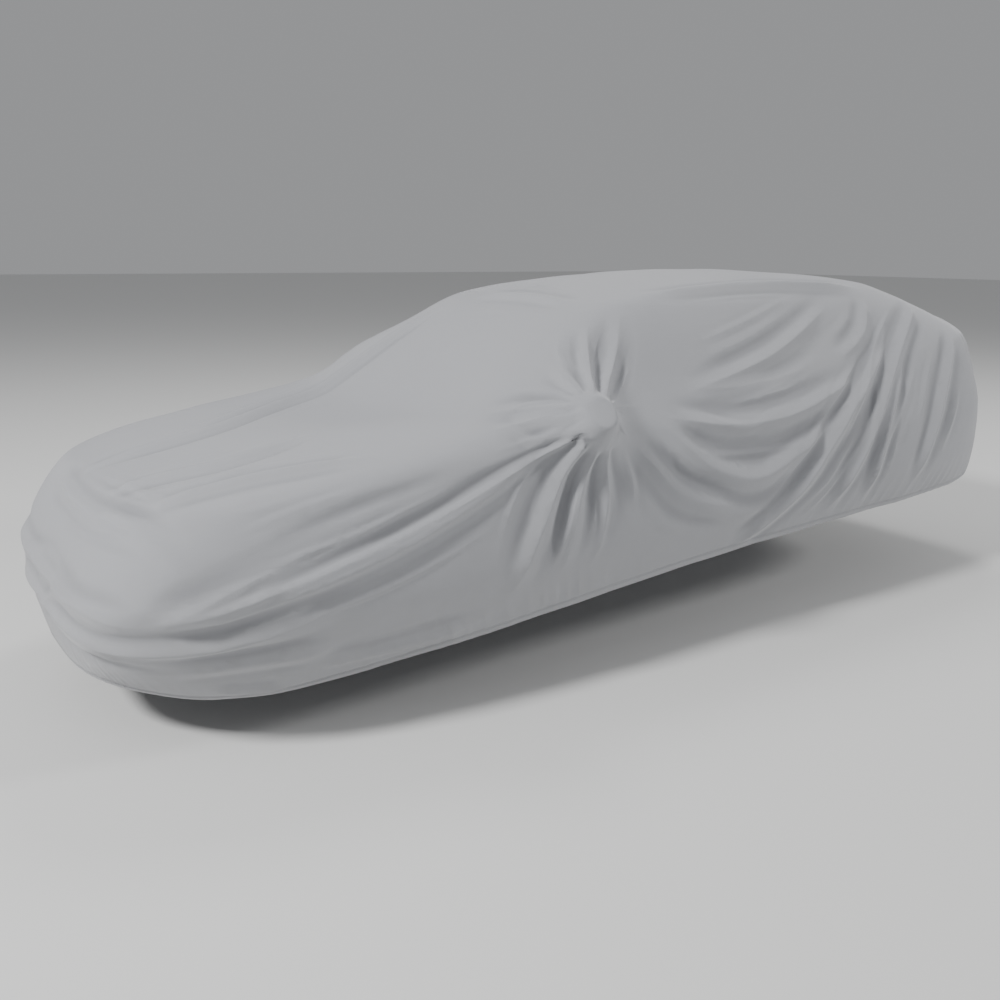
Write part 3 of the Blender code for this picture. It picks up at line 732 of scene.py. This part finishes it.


# The cloth's finish: a fine stretch knit, light grey, a little dusty low down, with painted shade darkening the
# folds' troughs.
clothFinish = {
    "colour": (0.392, 0.397, 0.418),
    "worn": (0.435, 0.437, 0.450),
    "dust": (0.330, 0.318, 0.300),
    # fold and its share: painted shade, the dark colour laid into the folds' troughs, and how much of it the deepest
    # trough gets
    "fold": (0.215, 0.218, 0.232),
    "fleck": (0.290, 0.295, 0.315),
    "paintedShadeShare": 0.46,
    "broadScale": 1.3,
    "fineScale": 22.0,
    "threadScale": 620.0,
    "fadedHeights": (-0.9, 0.0),
    "dustyHeights": (-1.32, -0.80),
    "knitPitch": 0.0019,
    "knitHeight": 0.00016,
    "crumpleScale": 11.0,
    "crumpleHeight": 0.0022,
    "rippleScale": 34.0,
    "rippleHeight": 0.0008,
    "pullScale": (24.0, 6.5, 28.0),  # long faint ripples from nose to tail
    "pullHeight": 0.0011,
    "roughness": 0.82,
    "sheen": 0.28,
}


def newMaterial(name):
    material = bpy.data.materials.new(name)
    material.use_nodes = True
    tree = material.node_tree
    return material, tree, tree.nodes["Principled BSDF"]


def noiseNode(tree, place, scale, detail, roughness=0.5):
    noise = tree.nodes.new("ShaderNodeTexNoise")
    noise.inputs["Scale"].default_value = scale
    noise.inputs["Detail"].default_value = detail
    noise.inputs["Roughness"].default_value = roughness
    tree.links.new(place, noise.inputs["Vector"])
    return noise.outputs["Fac"]


def spanNode(tree, value, low, high, toLow, toHigh):
    span = tree.nodes.new("ShaderNodeMapRange")
    span.inputs["From Min"].default_value = low
    span.inputs["From Max"].default_value = high
    span.inputs["To Min"].default_value = toLow
    span.inputs["To Max"].default_value = toHigh
    tree.links.new(value, span.inputs["Value"])
    return span.outputs["Result"]


def mathNode(tree, operation, first, second):
    node = tree.nodes.new("ShaderNodeMath")
    node.operation = operation
    for socket, given in zip(node.inputs, (first, second)):
        if isinstance(given, (int, float)):
            socket.default_value = given
        else:
            tree.links.new(given, socket)
    return node.outputs[0]


def mixNode(tree, share, first, second):
    mix = tree.nodes.new("ShaderNodeMix")
    mix.data_type = "RGBA"
    for name, given in (("Factor", share), ("A", first), ("B", second)):
        socket = next(s for s in mix.inputs if s.name == name and s.type == ("VALUE" if name == "Factor" else "RGBA"))
        if isinstance(given, (int, float)):
            socket.default_value = given
        elif isinstance(given, tuple):
            socket.default_value = (*given, 1.0)
        else:
            tree.links.new(given, socket)
    return next(s for s in mix.outputs if s.type == "RGBA")


def knitHeight(tree, place):
    # rows of loops along all three axes, so that the pattern lies on every side of the cloth
    total = None
    for axis in "XYZ":
        wave = tree.nodes.new("ShaderNodeTexWave")
        wave.wave_type = "BANDS"
        wave.bands_direction = axis
        wave.wave_profile = "SIN"
        wave.inputs["Scale"].default_value = math.pi / 10 / clothFinish["knitPitch"]
        wave.inputs["Distortion"].default_value = 0.6
        wave.inputs["Detail"].default_value = 1.0
        tree.links.new(place, wave.inputs["Vector"])
        total = wave.outputs["Fac"] if total is None else mathNode(tree, "ADD", total, wave.outputs["Fac"])
    return total


def bumpNode(tree, height, distance, strength, under=None):
    bump = tree.nodes.new("ShaderNodeBump")
    bump.inputs["Distance"].default_value = distance
    bump.inputs["Strength"].default_value = strength
    tree.links.new(height, bump.inputs["Height"])
    if under is not None:
        tree.links.new(under, bump.inputs["Normal"])
    return bump.outputs["Normal"]


def clothMaterial():
    material, tree, shader = newMaterial("coverClothKnit")
    place = tree.nodes.new("ShaderNodeTexCoord").outputs["Object"]
    height = tree.nodes.new("ShaderNodeSeparateXYZ")
    tree.links.new(place, height.inputs[0])
    # the trough mask, where the colour is darkened as painted shade in the folds
    trough = tree.nodes.new("ShaderNodeAttribute")
    trough.attribute_name = "trough"

    broad = noiseNode(tree, place, clothFinish["broadScale"], 3.0)
    fine = noiseNode(tree, place, clothFinish["fineScale"], 4.0, 0.6)
    thread = noiseNode(tree, place, clothFinish["threadScale"], 2.0, 0.7)
    faded = mathNode(
        tree, "MULTIPLY",
        spanNode(tree, broad, 0.35, 0.70, 0.0, 0.55),
        spanNode(tree, height.outputs["Z"], *clothFinish["fadedHeights"], 0.25, 1.0),
    )
    colour = mixNode(tree, faded, clothFinish["colour"], clothFinish["worn"])
    dusty = mathNode(
        tree, "MULTIPLY",
        spanNode(tree, fine, 0.30, 0.75, 0.25, 1.0),
        spanNode(tree, height.outputs["Z"], *clothFinish["dustyHeights"], 0.34, 0.0),
    )
    colour = mixNode(tree, dusty, colour, clothFinish["dust"])
    # painted shade: the folds' troughs are darkened in the colour itself
    paintedShadeInTroughs = spanNode(tree, trough.outputs["Fac"], 0.15, 1.0, 0.0, clothFinish["paintedShadeShare"])
    colour = mixNode(tree, paintedShadeInTroughs, colour, clothFinish["fold"])
    flecks = mixNode(tree, spanNode(tree, thread, 0.30, 0.70, 0.0, 0.20), colour, clothFinish["fleck"])
    tree.links.new(flecks, shader.inputs["Base Color"])

    rough = spanNode(tree, fine, 0.3, 0.7, clothFinish["roughness"] - 0.05, clothFinish["roughness"] + 0.07)
    tree.links.new(rough, shader.inputs["Roughness"])
    shader.inputs["Specular IOR Level"].default_value = 0.32
    shader.inputs["Sheen Weight"].default_value = clothFinish["sheen"]
    shader.inputs["Sheen Roughness"].default_value = 0.42

    crumple = noiseNode(tree, place, clothFinish["crumpleScale"], 3.0, 0.45)
    lumps = bumpNode(tree, crumple, clothFinish["crumpleHeight"], 0.55)
    ripple = noiseNode(tree, place, clothFinish["rippleScale"], 2.0, 0.5)
    lumps = bumpNode(tree, ripple, clothFinish["rippleHeight"], 0.5, lumps)
    stretch = tree.nodes.new("ShaderNodeMapping")
    stretch.inputs["Scale"].default_value = clothFinish["pullScale"]
    tree.links.new(place, stretch.inputs["Vector"])
    pull = noiseNode(tree, stretch.outputs["Vector"], 1.0, 3.0, 0.5)
    lumps = bumpNode(tree, pull, clothFinish["pullHeight"], 0.6, lumps)
    knit = bumpNode(tree, knitHeight(tree, place), clothFinish["knitHeight"], 0.55, lumps)
    tree.links.new(knit, shader.inputs["Normal"])
    return material


def threadMaterial():
    material, tree, shader = newMaterial("hemThread")
    place = tree.nodes.new("ShaderNodeTexCoord").outputs["Object"]
    strand = tree.nodes.new("ShaderNodeTexWave")
    strand.inputs["Scale"].default_value = stitches["strandScale"]
    strand.bands_direction = "DIAGONAL"
    tree.links.new(place, strand.inputs["Vector"])
    colour = mixNode(tree, strand.outputs["Fac"], *stitches["colours"])
    tree.links.new(colour, shader.inputs["Base Color"])
    tree.links.new(bumpNode(tree, strand.outputs["Fac"], 0.0002, 0.6), shader.inputs["Normal"])
    shader.inputs["Roughness"].default_value = 0.6
    shader.inputs["Sheen Weight"].default_value = 0.2
    return material


# The stage: a plain pale floor under the cover and soft light.
studio = {
    "floorSize": 120.0,
    "floorColour": (0.76, 0.76, 0.75),
    "sky": (0.80, 0.81, 0.83),
    "skyStrength": 0.40,
    # place, what it points at, size, watts
    "lights": {
        "keyLight": ((1.3, -10.0, 6.6), (0.2, -0.3, -0.6), 1.9, 1300.0),
        "topLight": ((-3.0, 2.5, 7.0), (0.0, 0.2, -0.3), 3.4, 200.0),
        "sideLight": ((6.0, 10.0, 4.0), (0.6, 0.6, -0.6), 1.8, 640.0),
    },
}


def buildStage():
    size = studio["floorSize"] / 2
    level = -cloth["roofRest"][2]
    mesh = bpy.data.meshes.new("floor")
    corners = [(-size, -size, level), (size, -size, level), (size, size, level), (-size, size, level)]
    mesh.from_pydata(corners, [], [(0, 1, 2, 3)])
    floor = bpy.data.objects.new("floor", mesh)
    bpy.context.scene.collection.objects.link(floor)
    material, tree, shader = newMaterial("paleFloor")
    shader.inputs["Base Color"].default_value = (*studio["floorColour"], 1.0)
    shader.inputs["Roughness"].default_value = 0.9
    mesh.materials.append(material)
    world = bpy.data.worlds.new("studio")
    world.use_nodes = True
    sky = world.node_tree.nodes["Background"]
    sky.inputs["Color"].default_value = (*studio["sky"], 1.0)
    sky.inputs["Strength"].default_value = studio["skyStrength"]
    bpy.context.scene.world = world
    for name, (place, target, size, watts) in studio["lights"].items():
        lamp = bpy.data.lights.new(name, "AREA")
        lamp.shape = "DISK"
        lamp.size = size
        lamp.energy = watts
        light = bpy.data.objects.new(name, lamp)
        bpy.context.scene.collection.objects.link(light)
        light.location = place
        light.rotation_euler = (Vector(target) - Vector(place)).to_track_quat("-Z", "Y").to_euler()


# The photograph's view, with distances in metres from the cover's origin.
view = {"place": (3.4322, -3.3692, 0.0821), "heading": 55.452, "down": 14.411, "roll": 0.506, "lens": 34.895}


def buildCamera():
    camera = bpy.data.cameras.new("camera")
    camera.lens = view["lens"]
    camera.sensor_width = 36.0
    piece = bpy.data.objects.new("camera", camera)
    bpy.context.scene.collection.objects.link(piece)
    heading = Matrix.Rotation(math.radians(view["heading"]), 4, "Z")
    tilt = Matrix.Rotation(math.radians(90 - view["down"]), 4, "X")
    roll = Matrix.Rotation(math.radians(view["roll"]), 4, "Z")
    piece.matrix_world = Matrix.Translation(view["place"]) @ heading @ tilt @ roll
    bpy.context.scene.camera = piece


buildCamera()
buildStage()
print("stage and camera set")

coverCloth, hemSeam = buildCloth()
coverCloth.data.materials.clear()
coverCloth.data.materials.append(clothMaterial())
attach(coverCloth, "root")
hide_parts("cover")
print("cloth built:", len(coverCloth.data.polygons), "faces")

hemStitches = buildStitches(coverCloth, hemSeam, threadMaterial())
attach(hemStitches, "root")
print("stitches built:", len(hemStitches.data.polygons), "faces")
